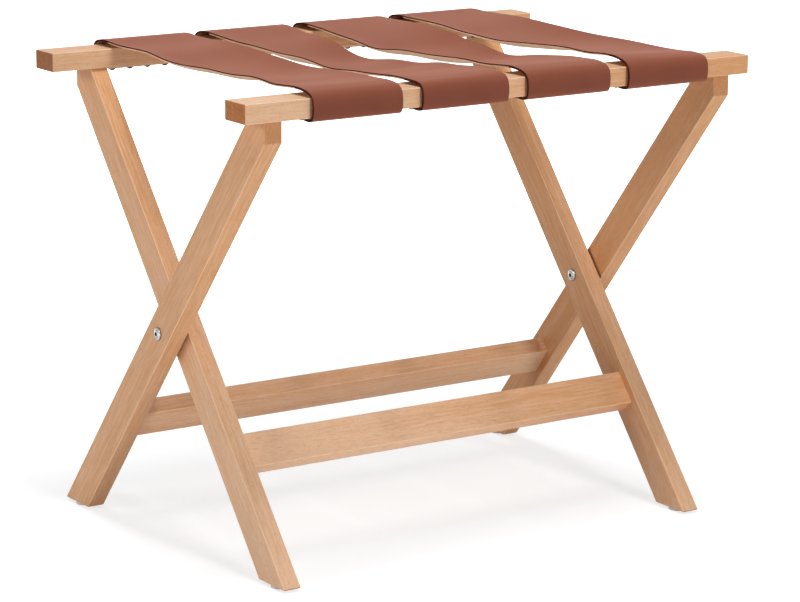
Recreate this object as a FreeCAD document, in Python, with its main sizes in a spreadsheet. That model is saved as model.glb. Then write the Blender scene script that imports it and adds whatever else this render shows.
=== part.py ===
import FreeCAD, Part
import math
import os
import Sketcher

# Folding luggage bench: two beech frames crossed like an X, turning on two pivot bolts,
# with four leather straps nailed under the top rails.
#
# Axes: X along the rails, Y across the bench, Z up. The origin is on the floor, under the
# middle. The outer frame carries the front rail (-Y) and stands on its rear feet (+Y); the
# inner frame stands between its legs and does the opposite. Every length is in millimetres.

doc = FreeCAD.newDocument("luggage_bench")
sheet = doc.addObject("Spreadsheet::Sheet", "dims")

DRIVING = [
    # Timber. Rails, legs and stretchers are planed from the same stock.
    ("rail_length", 620.0, "each top rail, end to end"),
    ("rail_width", 38.0, "rail across the bench"),
    ("rail_thick", 20.0, "rail from top to underside"),
    ("rail_top", 497.0, "floor to the top of the rails"),
    ("rail_inset", 8.85, "rail's centre line, inward of the leg's axis at the joint"),
    ("leg_width", 38.0, "leg in the plane of its slope"),
    ("leg_thick", 20.0, "leg along X"),
    ("leg_angle", 39.25, "leg from the vertical, in degrees, with the bench open"),
    ("rail_overhang", 23.5, "rail past the outer face of an outer leg"),
    ("leg_gap", 3.0, "air between an outer leg and the inner leg beside it"),
    ("leg_clip", 3.2, "upright cut of a leg's top, inside the rail's outer face"),
    ("pivot_height", 227.5, "floor to the pivot axis"),
    ("stretcher_width", 38.0, "stretcher along the slope of the legs"),
    ("stretcher_thick", 20.0, "stretcher square to that slope"),
    ("stretcher_drop", 146.5, "pivot axis to the stretcher's middle, down the leg"),
    ("edge_round", 1.2, "rounding of the timber's edges"),
    # Dowels, glued into blind holes.
    ("dowel_diameter", 8.0, "beech dowel"),
    ("dowel_length", 30.0, "dowel, end to end"),
    ("dowel_depth", 12.0, "dowel inside the thinner piece of each joint"),
    ("dowel_chamfer", 0.8, "bevel at each end of a dowel"),
    ("dowel_fit", 0.05, "glue line round a dowel"),
    ("hole_room", 0.5, "spare depth past the end of a dowel or a nail"),
    ("rail_dowel_pitch", 13.0, "between the two dowels under a rail"),
    ("stretcher_dowel_pitch", 18.0, "between the two dowels in a stretcher's end"),
    # Pivots: a cap screw in a sleeve nut, with a spacer washer between the legs.
    ("sleeve_diameter", 8.0, "barrel of the sleeve nut, on which the legs turn"),
    ("pivot_fit", 0.075, "running clearance round the barrel"),
    ("screw_diameter", 5.0, "shank of the cap screw"),
    ("screw_fit", 0.05, "clearance between shank and sleeve"),
    ("screw_length", 30.0, "shank under the head"),
    ("screw_room", 3.0, "spare bore past the shank's end"),
    ("head_diameter", 14.0, "both pivot heads"),
    ("head_rim", 0.9, "straight edge of a head"),
    ("head_height", 2.8, "head from its seat to the crown"),
    ("hex_across", 4.0, "hexagon socket, flat to flat"),
    ("hex_depth", 1.8, "hexagon socket, below the crown"),
    ("washer_diameter", 18.0, "spacer washer"),
    ("face_gap", 0.05, "play at each face that turns"),
    # Glides under the feet.
    ("glide_diameter", 19.0, "nylon glide"),
    ("glide_thick", 3.0, "glide, which lifts the timber off the floor"),
    ("glide_round", 0.8, "rounding of the glide's lower edge"),
    ("glide_nail_head", 6.0, "nail head, sunk in the glide"),
    ("glide_nail_sink", 0.6, "floor to the nail head"),
    ("glide_nail_cap", 1.0, "thickness of the nail head"),
    ("glide_nail_shank", 2.0, "nail shank"),
    ("glide_nail_length", 16.0, "nail from under its head to its end"),
    ("nail_fit", 0.04, "clearance round a nail"),
    # Straps.
    ("strap_width", 104.0, "each strap, along the rails"),
    ("strap_thick", 2.5, "leather"),
    ("strap_end_room", 22.5, "outer leg to the nearest strap, before the set's shift"),
    ("strap_shift", 6.5, "middle of the set of straps, to the right of the bench's"),
    ("strap_flap", 30.0, "strap under the rail, from the rail's outer face"),
    ("strap_side_gap", 1.6, "leather off the rail's outer face"),
    ("strap_crown_gap", 4.2, "leather above the rail's top, where it springs up"),
    ("strap_seat_gap", 0.3, "leather under the rail's underside"),
    ("strap_sag", 9.0, "dip of the strap between the rails"),
    ("strap_corner_gap", 0.4, "leather off the rounded corner of the rail's top"),
    ("strap_fold", 1.5, "inside radius of the fold under the rail"),
    ("strap_leg_gap", 0.5, "notch clearance where a flap meets a leg"),
    # Upholstery tacks under the rails.
    ("tack_margin", 6.0, "strap's edge to the middle of its first tack"),
    ("tack_leg_room", 1.0, "inner leg to the head of the last tack beside it"),
    ("tack_line", 24.0, "rail's outer face to the row of tacks"),
    ("tack_head", 8.0, "head of a tack"),
    ("tack_dome", 2.6, "height of the domed head"),
    ("tack_shank", 1.6, "shank of a tack"),
    ("tack_length", 13.0, "shank under the head, with its point"),
    ("tack_point", 1.6, "tapered point of a tack"),
    ("tack_tip", 0.2, "width of the point's end"),
    ("tack_seat", 0.1, "air between leather and head"),
    ("tack_hole_gap", 0.3, "room round a shank in the leather"),
]

STRAPS = 4  # across the bench
TACKS = 5  # at each end of a strap
START = 40.0  # size at which a sketch's geometry starts, before its constraints hold it
NEAR = 1e-3  # difference that counts as none

for row, (alias, value, note) in enumerate(DRIVING, start=1):
    sheet.set("A%d" % row, alias)
    sheet.set("B%d" % row, str(value))
    sheet.set("C%d" % row, note)
    sheet.setAlias("B%d" % row, alias)
doc.recompute()


def value(expression):
    """Work out an expression on the sheet as a number."""
    return float(sheet.evalExpression(expression))


def size(alias):
    """Read one driving dimension as a number."""
    return value("dims." + alias)


# Places that several pieces share, as expressions on the sheet. A frame's side is -1 when its
# rail is at the front (-Y), the outer frame, and +1 when it is at the rear, the inner frame.
SLOPE = "tan(dims.leg_angle * 1deg)"
RAIL_RISE = "(dims.rail_top - dims.rail_thick - dims.pivot_height)"
FOOT_DROP = "(dims.pivot_height - dims.glide_thick)"
HALF_CUT = "(dims.leg_width / 2 / cos(dims.leg_angle * 1deg))"
RAIL_OUT = "(%s * %s - dims.rail_inset)" % (RAIL_RISE, SLOPE)
FOOT_OUT = "(%s * %s)" % (FOOT_DROP, SLOPE)
CLIP_OUT = "(%s + dims.rail_width / 2 - dims.leg_clip)" % RAIL_OUT
LEG_FACE = "(dims.rail_length / 2 - dims.rail_overhang)"
OUTER_LEG_X = "(%s - dims.leg_thick / 2)" % LEG_FACE
INNER_LEG_X = "(%s - dims.leg_thick * 3 / 2 - dims.leg_gap)" % LEG_FACE
STRAP_PITCH = "(2 * (%s - dims.leg_thick - dims.strap_end_room) - dims.strap_width) / %d" % (
    LEG_FACE, STRAPS - 1)
TACK_OUT = "(%s + dims.rail_width / 2 - dims.tack_line)" % RAIL_OUT


def strap_x(strap):
    """Expression for X of the middle of a strap, counted from 0 at the left."""
    return "(dims.strap_shift + %g * %s)" % (strap - (STRAPS - 1) / 2.0, STRAP_PITCH)


def tack_x(strap, tack):
    """Expression for X of a tack of a strap, both counted from 0 at the left.

    The tacks are spaced evenly from one margin of the strap to the other, or to the inner leg
    where that is nearer, as it is beside the last strap. All straps are tacked alike.
    """
    margin = "(dims.strap_width / 2 - dims.tack_margin)"
    leg = "(%s - dims.leg_thick / 2 - dims.tack_leg_room - dims.tack_head / 2)" % INNER_LEG_X
    last = "min(%s; %s - %s)" % (margin, leg, strap_x(STRAPS - 1))
    share = tack / (TACKS - 1.0)
    return "(%s + %g * %s - %g * %s)" % (strap_x(strap), share, last, 1 - share, margin)


# ---------------------------------------------------------------- sketch and feature helpers

def new_body(label):
    """An empty PartDesign body whose Label is the sub-part's name."""
    body = doc.addObject("PartDesign::Body", label)
    body.Label = label
    return body


def new_sketch(body, name, role, height="0"):
    """A sketch on one of the body's origin planes, raised along its normal by an expression."""
    plane = [item for item in body.Origin.OriginFeatures if item.Role == role][0]
    sketch = body.newObject("Sketcher::SketchObject", name)
    sketch.AttachmentSupport = [(plane, "")]
    sketch.MapMode = "FlatFace"
    sketch.setExpression("AttachmentOffset.Base.z", height)
    return sketch


def hold_point(sketch, geometry, corner, across, up):
    """Hold a point of the sketch at two expressions, measured from the sketch's origin."""
    for kind, expression in (("DistanceX", across), ("DistanceY", up)):
        index = sketch.addConstraint(Sketcher.Constraint(kind, -1, 1, geometry, corner, START))
        sketch.setExpression("Constraints[%d]" % index, expression)


def add_outline(sketch, points):
    """A closed outline of straight lines through points given as pairs of expressions."""
    count = len(points)
    turn = 2 * math.pi / count
    start = [FreeCAD.Vector(START * math.cos(turn * i), START * math.sin(turn * i), 0)
             for i in range(count)]
    for i in range(count):
        sketch.addGeometry(Part.LineSegment(start[i], start[(i + 1) % count]), False)
    for i in range(count):
        sketch.addConstraint(Sketcher.Constraint("Coincident", i, 2, (i + 1) % count, 1))
    for i, (across, up) in enumerate(points):
        hold_point(sketch, i, 1, across, up)


def add_circle(sketch, across, up, diameter):
    """A circle held by expressions for its centre and diameter."""
    circle = Part.Circle(FreeCAD.Vector(START, START, 0), FreeCAD.Vector(0, 0, 1), START)
    index = sketch.addGeometry(circle, False)
    held = sketch.addConstraint(Sketcher.Constraint("Diameter", index, START))
    sketch.setExpression("Constraints[%d]" % held, diameter)
    hold_point(sketch, index, 3, across, up)


def add_rectangle(sketch, width, height):
    """A rectangle about the sketch's origin."""
    half_w = "(%s) / 2" % width
    half_h = "(%s) / 2" % height
    add_outline(sketch, [("-" + half_w, "-" + half_h), (half_w, "-" + half_h),
                         (half_w, half_h), ("-" + half_w, half_h)])


def pad(body, sketch, length, both_ways=True):
    """Pad a sketch by an expression, to both sides of its plane or along its normal."""
    feature = body.newObject("PartDesign::Pad", sketch.Name + "_pad")
    feature.Profile = sketch
    feature.SideType = "Symmetric" if both_ways else "One side"
    feature.setExpression("Length", length)
    doc.recompute()
    return feature


def pocket(body, sketch, depth, along_normal=False, both_ways=False):
    """Cut a sketch into the body, and stop if the cut removes nothing."""
    before = body.Shape.Volume
    feature = body.newObject("PartDesign::Pocket", sketch.Name + "_cut")
    feature.Profile = sketch
    feature.SideType = "Symmetric" if both_ways else "One side"
    feature.Reversed = along_normal
    feature.setExpression("Length", depth)
    doc.recompute()
    if body.Shape.Volume > before - NEAR:
        raise RuntimeError("%s of %s cuts nothing" % (sketch.Name, body.Label))
    return feature


def round_edges(body, base, radius, keep=lambda edge: False):
    """Round every edge of a feature, apart from those that keep() names."""
    names = ["Edge%d" % (i + 1) for i, edge in enumerate(base.Shape.Edges) if not keep(edge)]
    feature = body.newObject("PartDesign::Fillet", base.Name + "_round")
    feature.Base = (base, names)
    feature.setExpression("Radius", radius)
    doc.recompute()
    return feature


def place(item, across="0", back="0", up="0"):
    """Bind a sub-part's place to expressions for X, Y and Z."""
    item.setExpression("Placement.Base.x", across)
    item.setExpression("Placement.Base.y", back)
    item.setExpression("Placement.Base.z", up)


# ---------------------------------------------------------------- timber

def make_rail(label, side, leg_x):
    """Top rail: rounded bar, with blind holes underneath for dowels and tacks."""
    body = new_body(label)
    section = new_sketch(body, label + "_section", "YZ_Plane")
    add_rectangle(section, "dims.rail_width", "dims.rail_thick")
    round_edges(body, pad(body, section, "dims.rail_length"), "dims.edge_round")

    under = "-dims.rail_thick / 2"
    dowels = new_sketch(body, label + "_dowel_holes", "XY_Plane", under)
    for end in ("-", ""):
        for step in ("-", ""):
            add_circle(dowels, end + leg_x, step + "dims.rail_dowel_pitch / 2",
                       "dims.dowel_diameter + 2 * dims.dowel_fit")
    pocket(body, dowels, "dims.dowel_depth + dims.hole_room", along_normal=True)

    tacks = new_sketch(body, label + "_tack_holes", "XY_Plane", under)
    row = "%d * (dims.rail_width / 2 - dims.tack_line)" % side
    for strap in range(STRAPS):
        for tack in range(TACKS):
            add_circle(tacks, tack_x(strap, tack), row, "dims.tack_shank + 2 * dims.nail_fit")
    pocket(body, tacks, "dims.tack_length - dims.tack_seat - dims.strap_thick"
           " - dims.strap_seat_gap + dims.hole_room", along_normal=True)
    place(body, "0", "%d * %s" % (side, RAIL_OUT), "dims.rail_top - dims.rail_thick / 2")
    return body


def make_leg(label, side, leg_x, hand, stretcher_hand):
    """Leg: sloping bar, cut level at foot and rail and upright inside the rail's outer face."""
    body = new_body(label)
    outline = new_sketch(body, label + "_outline", "YZ_Plane")
    top_axis = "%d * %s * %s" % (side, RAIL_RISE, SLOPE)
    foot_axis = "%d * %s" % (-side, FOOT_OUT)
    clip = "%d * %s" % (side, CLIP_OUT)
    clip_rise = "((%s - %s) / %s)" % (CLIP_OUT, HALF_CUT, SLOPE)
    add_outline(outline, [
        ("%s - %d * %s" % (foot_axis, side, HALF_CUT), "-" + FOOT_DROP),
        ("%s + %d * %s" % (foot_axis, side, HALF_CUT), "-" + FOOT_DROP),
        (clip, clip_rise),
        (clip, RAIL_RISE),
        ("%s - %d * %s" % (top_axis, side, HALF_CUT), RAIL_RISE),
    ])
    blank = pad(body, outline, "dims.leg_thick")
    joint = size("rail_top") - size("rail_thick") - size("pivot_height")
    round_edges(body, blank, "dims.edge_round",
                keep=lambda edge: all(abs(v.Point.z - joint) < NEAR for v in edge.Vertexes))

    bore = new_sketch(body, label + "_pivot_bore", "YZ_Plane")
    add_circle(bore, "0", "0", "dims.sleeve_diameter + 2 * dims.pivot_fit")
    pocket(body, bore, "dims.leg_thick * 2", both_ways=True)

    rail_holes = new_sketch(body, label + "_rail_holes", "XY_Plane", RAIL_RISE)
    for step in ("-", "+"):
        add_circle(rail_holes, "0", "%d * %s %s dims.rail_dowel_pitch / 2" % (side, RAIL_OUT, step),
                   "dims.dowel_diameter + 2 * dims.dowel_fit")
    pocket(body, rail_holes, "dims.dowel_length - dims.dowel_depth + dims.hole_room")

    face = "%d * dims.leg_thick / 2" % stretcher_hand
    stretcher_holes = new_sketch(body, label + "_stretcher_holes", "YZ_Plane", face)
    for step in ("-", "+"):
        down = "(dims.stretcher_drop %s dims.stretcher_dowel_pitch / 2)" % step
        add_circle(stretcher_holes, "%d * %s * sin(dims.leg_angle * 1deg)" % (-side, down),
                   "-%s * cos(dims.leg_angle * 1deg)" % down,
                   "dims.dowel_diameter + 2 * dims.dowel_fit")
    pocket(body, stretcher_holes, "dims.dowel_depth + dims.hole_room",
           along_normal=stretcher_hand < 0)

    nail_hole = new_sketch(body, label + "_nail_hole", "XY_Plane", "-" + FOOT_DROP)
    add_circle(nail_hole, "0", foot_axis, "dims.glide_nail_shank + 2 * dims.nail_fit")
    pocket(body, nail_hole, "dims.glide_nail_sink + dims.glide_nail_cap + dims.glide_nail_length"
           " - dims.glide_thick + dims.hole_room", along_normal=True)
    place(body, "%d * %s" % (hand, leg_x), "0", "dims.pivot_height")
    return body


def make_stretcher(label, side, leg_x):
    """Stretcher: rounded bar between the legs, turned to their slope, doweled at both ends."""
    body = new_body(label)
    section = new_sketch(body, label + "_section", "YZ_Plane")
    add_rectangle(section, "dims.stretcher_thick", "dims.stretcher_width")
    length = "(2 * %s - dims.leg_thick)" % leg_x
    bar = pad(body, section, length)
    round_edges(body, bar, "dims.edge_round",
                keep=lambda edge: abs(edge.Vertexes[0].Point.x - edge.Vertexes[-1].Point.x) < NEAR)
    for end in (-1, 1):
        name = label + ("_left_holes" if end < 0 else "_right_holes")
        holes = new_sketch(body, name, "YZ_Plane", "%d * %s / 2" % (end, length))
        for step in ("-", ""):
            add_circle(holes, "0", step + "dims.stretcher_dowel_pitch / 2",
                       "dims.dowel_diameter + 2 * dims.dowel_fit")
        pocket(body, holes, "dims.dowel_length - dims.dowel_depth + dims.hole_room",
               along_normal=end < 0)
    turn = FreeCAD.Rotation(FreeCAD.Vector(-side, 0, 0), size("leg_angle"))
    body.Placement = FreeCAD.Placement(FreeCAD.Vector(), turn)
    body.setExpression("Placement.Rotation.Angle", "dims.leg_angle * 1deg")
    place(body, "0", "%d * dims.stretcher_drop * sin(dims.leg_angle * 1deg)" % -side,
          "dims.pivot_height - dims.stretcher_drop * cos(dims.leg_angle * 1deg)")
    return body


# ---------------------------------------------------------------- dowels, nails and glides

def make_dowel(name, upright):
    """One chamfered dowel, along Z when upright, else along X, starting at its own origin."""
    rod = doc.addObject("Part::Cylinder", name + "_rod")
    rod.setExpression("Radius", "dims.dowel_diameter / 2")
    rod.setExpression("Height", "dims.dowel_length")
    doc.recompute()
    dowel = doc.addObject("Part::Chamfer", name)
    dowel.Base = rod
    bevel = size("dowel_chamfer")
    ends = [i + 1 for i, edge in enumerate(rod.Shape.Edges) if edge.isClosed()]
    dowel.Edges = [(i, bevel, bevel) for i in ends]
    if not upright:
        lying = FreeCAD.Rotation(FreeCAD.Vector(0, 1, 0), 90)
        dowel.Placement = FreeCAD.Placement(FreeCAD.Vector(), lying)
    return dowel


def make_group(label, members):
    """Like pieces that share one sub-part, each still a solid of its own."""
    group = doc.addObject("Part::Compound", label)
    group.Label = label
    group.Links = members
    return group


def make_rail_dowels(label, side, leg_x):
    """Four upright dowels that join the two legs to their rail."""
    dowels = []
    for end in ("-", ""):
        for step in ("-", "+"):
            dowel = make_dowel("%s_%d" % (label, len(dowels) + 1), upright=True)
            place(dowel, end + leg_x, "%d * %s %s dims.rail_dowel_pitch / 2" % (side, RAIL_OUT, step),
                  "dims.rail_top - dims.rail_thick + dims.dowel_depth - dims.dowel_length")
            dowels.append(dowel)
    return make_group(label, dowels)


def make_stretcher_dowels(label, side, leg_x):
    """Four dowels that join the stretcher's ends to the legs."""
    dowels = []
    for end in (-1, 1):
        reach = "(%s - dims.leg_thick / 2 + dims.dowel_depth)" % leg_x
        start = "-" + reach if end < 0 else reach + " - dims.dowel_length"
        for step in ("-", "+"):
            down = "(dims.stretcher_drop %s dims.stretcher_dowel_pitch / 2)" % step
            dowel = make_dowel("%s_%d" % (label, len(dowels) + 1), upright=False)
            place(dowel, start, "%d * %s * sin(dims.leg_angle * 1deg)" % (-side, down),
                  "dims.pivot_height - %s * cos(dims.leg_angle * 1deg)" % down)
            dowels.append(dowel)
    return make_group(label, dowels)


def make_glide(label, side, leg_x, hand):
    """Nylon glide under one foot, with a counterbored hole for its nail."""
    body = new_body(label)
    disc = new_sketch(body, label + "_disc", "XY_Plane")
    add_circle(disc, "0", "0", "dims.glide_diameter")
    blank = pad(body, disc, "dims.glide_thick", both_ways=False)
    round_edges(body, blank, "dims.glide_round",
                keep=lambda edge: not edge.isClosed() or edge.Vertexes[0].Point.z > NEAR)
    seat = new_sketch(body, label + "_nail_seat", "XY_Plane")
    add_circle(seat, "0", "0", "dims.glide_nail_head + 2 * dims.nail_fit")
    pocket(body, seat, "dims.glide_nail_sink + dims.glide_nail_cap", along_normal=True)
    bore = new_sketch(body, label + "_nail_bore", "XY_Plane")
    add_circle(bore, "0", "0", "dims.glide_nail_shank + 2 * dims.nail_fit")
    pocket(body, bore, "dims.glide_thick * 2", along_normal=True)
    place(body, "%d * %s" % (hand, leg_x), "%d * %s" % (-side, FOOT_OUT), "0")
    return body


def make_glide_nails(label, side, leg_x):
    """The two nails of a frame's glides."""
    nails = []
    for end in (-1, 1):
        name = "%s_%d" % (label, len(nails) + 1)
        cap = doc.addObject("Part::Cylinder", name + "_cap")
        cap.setExpression("Radius", "dims.glide_nail_head / 2")
        cap.setExpression("Height", "dims.glide_nail_cap")
        place(cap, "0", "0", "dims.glide_nail_sink")
        shank = doc.addObject("Part::Cylinder", name + "_shank")
        shank.setExpression("Radius", "dims.glide_nail_shank / 2")
        shank.setExpression("Height", "dims.glide_nail_length + dims.glide_nail_cap / 2")
        place(shank, "0", "0", "dims.glide_nail_sink + dims.glide_nail_cap / 2")
        nail = doc.addObject("Part::Fuse", name)
        nail.Base = cap
        nail.Tool = shank
        place(nail, "%d * %s" % (end, leg_x), "%d * %s" % (-side, FOOT_OUT), "0")
        nails.append(nail)
    return make_group(label, nails)


# ---------------------------------------------------------------- pivots

def make_head(body, label, hand):
    """Low domed head on the YZ plane, crown along hand * X, with a hexagon socket."""
    disc = new_sketch(body, label + "_head", "YZ_Plane")
    add_circle(disc, "0", "0", "dims.head_diameter")
    head = pad(body, disc, "dims.head_height", both_ways=False)
    head.Reversed = hand < 0
    doc.recompute()
    crown = hand * size("head_height")
    round_edges(body, head, "dims.head_height - dims.head_rim",
                keep=lambda edge: not edge.isClosed() or abs(edge.Vertexes[0].Point.x - crown) > NEAR)

    corner = "dims.hex_across / 2 / cos(30deg)"
    socket = new_sketch(body, label + "_socket", "YZ_Plane", "%d * dims.head_height" % hand)
    add_outline(socket, [("%s * cos(%ddeg)" % (corner, 60 * i), "%s * sin(%ddeg)" % (corner, 60 * i))
                         for i in range(6)])
    pocket(body, socket, "dims.hex_depth", along_normal=hand < 0)


def make_screw(label, hand):
    """Cap screw of one pivot: its head is on the outer leg's outer face."""
    body = new_body(label)
    make_head(body, label, hand)
    shank = new_sketch(body, label + "_shank", "YZ_Plane")
    add_circle(shank, "0", "0", "dims.screw_diameter")
    stem = pad(body, shank, "dims.screw_length", both_ways=False)
    stem.Reversed = hand > 0
    place(body, "%d * (%s + dims.face_gap)" % (hand, LEG_FACE), "0", "dims.pivot_height")
    return body


def make_sleeve(label, hand):
    """Sleeve nut of one pivot: its head is on the inner leg's inner face."""
    body = new_body(label)
    make_head(body, label, -hand)
    barrel = new_sketch(body, label + "_barrel", "YZ_Plane")
    add_circle(barrel, "0", "0", "dims.sleeve_diameter")
    reach = "(2 * dims.leg_thick + dims.leg_gap)"
    stem = pad(body, barrel, reach, both_ways=False)
    stem.Reversed = hand < 0
    doc.recompute()
    bore = new_sketch(body, label + "_bore", "YZ_Plane", "%d * %s" % (hand, reach))
    add_circle(bore, "0", "0", "dims.screw_diameter + 2 * dims.screw_fit")
    pocket(body, bore, "dims.screw_length + dims.screw_room", along_normal=hand < 0)
    place(body, "%d * (%s - dims.leg_thick / 2 - dims.face_gap)" % (hand, INNER_LEG_X),
          "0", "dims.pivot_height")
    return body


def make_washer(label, hand):
    """Spacer washer between an outer leg and the inner leg beside it."""
    body = new_body(label)
    ring = new_sketch(body, label + "_ring", "YZ_Plane")
    add_circle(ring, "0", "0", "dims.washer_diameter")
    add_circle(ring, "0", "0", "dims.sleeve_diameter + 2 * dims.pivot_fit")
    pad(body, ring, "dims.leg_gap - 2 * dims.face_gap")
    place(body, "%d * (%s - dims.leg_thick - dims.leg_gap / 2)" % (hand, LEG_FACE),
          "0", "dims.pivot_height")
    return body


# ---------------------------------------------------------------- straps and tacks

def arc(centre, radius, start, end):
    """Arc in the YZ plane about centre, from one angle in degrees to another."""
    turns = [math.radians(a) for a in (start, (start + end) / 2.0, end)]
    points = [FreeCAD.Vector(0, centre[0] + radius * math.cos(a), centre[1] + radius * math.sin(a))
              for a in turns]
    return Part.Arc(points[0], points[1], points[2]).toShape()


def strap_bend():
    """Inside radius of the strap's bend over a rail, which clears the rail's rounded corner.

    The bend is tangent to the strap's side and to its crown. Its centre then lies nearer than its
    radius to the corner's own centre by the corner's radius and the gap.
    """
    gap = size("strap_corner_gap")
    side = size("strap_side_gap") - gap
    crown = size("strap_crown_gap") - gap
    return size("edge_round") + gap + side + crown + math.sqrt(2 * side * crown)


def half_strap_edges(lift):
    """Edges of one face of a strap, from the flap's end round the rear rail to the middle.

    lift is the distance of that face outside the leather's inner face: 0 or the thickness.
    """
    rail_face = value(RAIL_OUT) + size("rail_width") / 2
    flap_end = rail_face - size("strap_flap")
    side = rail_face + size("strap_side_gap")
    under = size("rail_top") - size("rail_thick") - size("strap_seat_gap")
    crown = size("rail_top") + size("strap_crown_gap")
    fold = size("strap_fold")
    bend = strap_bend()
    shoulder = rail_face - size("rail_width")
    # Two equal arcs, one over the other, take the strap from level at the shoulder down to
    # level again at the middle of the span.
    sweep_radius = (shoulder ** 2 + size("strap_sag") ** 2) / (4 * size("strap_sag"))
    sweep = math.degrees(math.atan2(shoulder / 2, sweep_radius - size("strap_sag") / 2))

    def line(y0, z0, y1, z1):
        return Part.LineSegment(FreeCAD.Vector(0, y0, z0), FreeCAD.Vector(0, y1, z1)).toShape()

    return [
        line(flap_end, under - lift, side - fold, under - lift),
        arc((side - fold, under + fold), fold + lift, -90, 0),
        line(side + lift, under + fold, side + lift, crown - bend),
        arc((side - bend, crown - bend), bend + lift, 0, 90),
        line(side - bend, crown + lift, shoulder, crown + lift),
        arc((shoulder, crown - sweep_radius), sweep_radius + lift, 90, 90 + sweep),
        arc((0, crown - size("strap_sag") + sweep_radius), sweep_radius - lift, -90 + sweep, -90),
    ]


def strap_profile():
    """Closed face of a whole strap's side view, in the plane X = 0."""
    mirror = FreeCAD.Vector(0, 1, 0)
    origin = FreeCAD.Vector(0, 0, 0)
    inner = half_strap_edges(0.0)
    outer = half_strap_edges(size("strap_thick"))
    caps = [Part.LineSegment(inner[0].Vertexes[0].Point, outer[0].Vertexes[0].Point).toShape()]
    half = inner + outer + caps
    edges = half + [edge.mirror(origin, mirror) for edge in half]
    wire = Part.Wire(Part.__sortEdges__(edges))
    return Part.Face(wire)


def make_strap(strap):
    """Leather strap over both rails, with holes for its tacks and notches round the legs."""
    width = size("strap_width")
    left = value(strap_x(strap)) - width / 2
    solid = strap_profile().extrude(FreeCAD.Vector(width, 0, 0))
    under = size("rail_top") - size("rail_thick")
    deep = 2 * (size("strap_thick") + size("strap_seat_gap"))

    hole_radius = size("tack_shank") / 2 + size("tack_hole_gap")
    tools = []
    for side in (-1, 1):
        for tack in range(TACKS):
            foot = FreeCAD.Vector(value(tack_x(strap, tack)) - left, side * value(TACK_OUT), under - deep)
            tools.append(Part.makeCylinder(hole_radius, deep, foot))

    notch = size("leg_thick") + 2 * size("strap_leg_gap")
    reach = 2 * value(RAIL_OUT)
    for side, leg_x in ((-1, OUTER_LEG_X), (1, INNER_LEG_X)):
        for hand in (-1, 1):
            start = FreeCAD.Vector(hand * value(leg_x) - notch / 2 - left, min(0, side * reach), under - deep)
            tools.append(Part.makeBox(notch, reach, deep, start))

    label = "strap_%d" % (strap + 1)
    leather = doc.addObject("Part::Feature", label)
    leather.Label = label
    shape = solid.cut(tools)
    leather.Shape = shape.Solids[0] if len(shape.Solids) == 1 else shape
    leather.Placement = FreeCAD.Placement(FreeCAD.Vector(left, 0, 0), FreeCAD.Rotation())
    return leather


def tack_solid():
    """One tack, point up, with the seat of its domed head at the origin."""
    radius = size("tack_head") / 2
    dome = size("tack_dome")
    sphere_radius = (radius ** 2 + dome ** 2) / (2 * dome)
    ball = Part.makeSphere(sphere_radius, FreeCAD.Vector(0, 0, sphere_radius - dome))
    below = Part.makeCylinder(sphere_radius, dome, FreeCAD.Vector(0, 0, -dome))
    shank_radius = size("tack_shank") / 2
    straight = size("tack_length") - size("tack_point")
    shank = Part.makeCylinder(shank_radius, straight)
    tip = Part.makeCone(shank_radius, size("tack_tip") / 2, size("tack_point"),
                        FreeCAD.Vector(0, 0, straight))
    return ball.common(below).fuse([shank, tip]).removeSplitter()


def make_tacks(label, side):
    """All the tacks under one rail, heads down."""
    seat = size("rail_top") - size("rail_thick") - size("strap_seat_gap") - size("strap_thick")
    tack = tack_solid()
    copies = []
    for strap in range(STRAPS):
        for number in range(TACKS):
            copy = tack.copy()
            copy.translate(FreeCAD.Vector(value(tack_x(strap, number)), 0, 0))
            copies.append(copy)
    tacks = doc.addObject("Part::Feature", label)
    tacks.Label = label
    tacks.Shape = Part.makeCompound(copies)
    seat_point = FreeCAD.Vector(0, side * value(TACK_OUT), seat - size("tack_seat"))
    tacks.Placement = FreeCAD.Placement(seat_point, FreeCAD.Rotation())
    return tacks


# ---------------------------------------------------------------- the bench

def make_frame(prefix, side, leg_x, stretcher_hand):
    """One frame: rail, two legs, stretcher, their dowels, and the glides with their nails."""
    return [
        make_rail(prefix + "_rail", side, leg_x),
        make_leg(prefix + "_leg_left", side, leg_x, -1, stretcher_hand),
        make_leg(prefix + "_leg_right", side, leg_x, 1, -stretcher_hand),
        make_stretcher(prefix + "_stretcher", side, leg_x),
        make_rail_dowels(prefix + "_rail_dowels", side, leg_x),
        make_stretcher_dowels(prefix + "_stretcher_dowels", side, leg_x),
        make_glide(prefix + "_glide_left", side, leg_x, -1),
        make_glide(prefix + "_glide_right", side, leg_x, 1),
        make_glide_nails(prefix + "_glide_nails", side, leg_x),
        make_tacks(prefix + "_rail_tacks", side),
    ]


parts = make_frame("outer", -1, OUTER_LEG_X, 1) + make_frame("inner", 1, INNER_LEG_X, 1)
for word, hand in (("left", -1), ("right", 1)):
    parts.append(make_screw("pivot_screw_" + word, hand))
    parts.append(make_sleeve("pivot_sleeve_" + word, hand))
    parts.append(make_washer("pivot_washer_" + word, hand))
parts += [make_strap(strap) for strap in range(STRAPS)]
doc.recompute()

for item in doc.Objects:
    if "Invalid" in item.State or "Error" in item.State:
        raise RuntimeError("%s failed: %s" % (item.Label, item.State))
for item in parts:
    if item.Shape.isNull() or not item.Shape.isValid() or not item.Shape.Solids:
        raise RuntimeError("%s has no valid solid" % item.Label)

os.makedirs("parts", exist_ok=True)
for item in parts:
    item.Shape.exportStep("parts/%s.step" % item.Label)
print("%d sub-parts written" % len(parts))
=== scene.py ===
import bpy
import math
import numpy as np
from mathutils import Matrix, Vector


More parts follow.
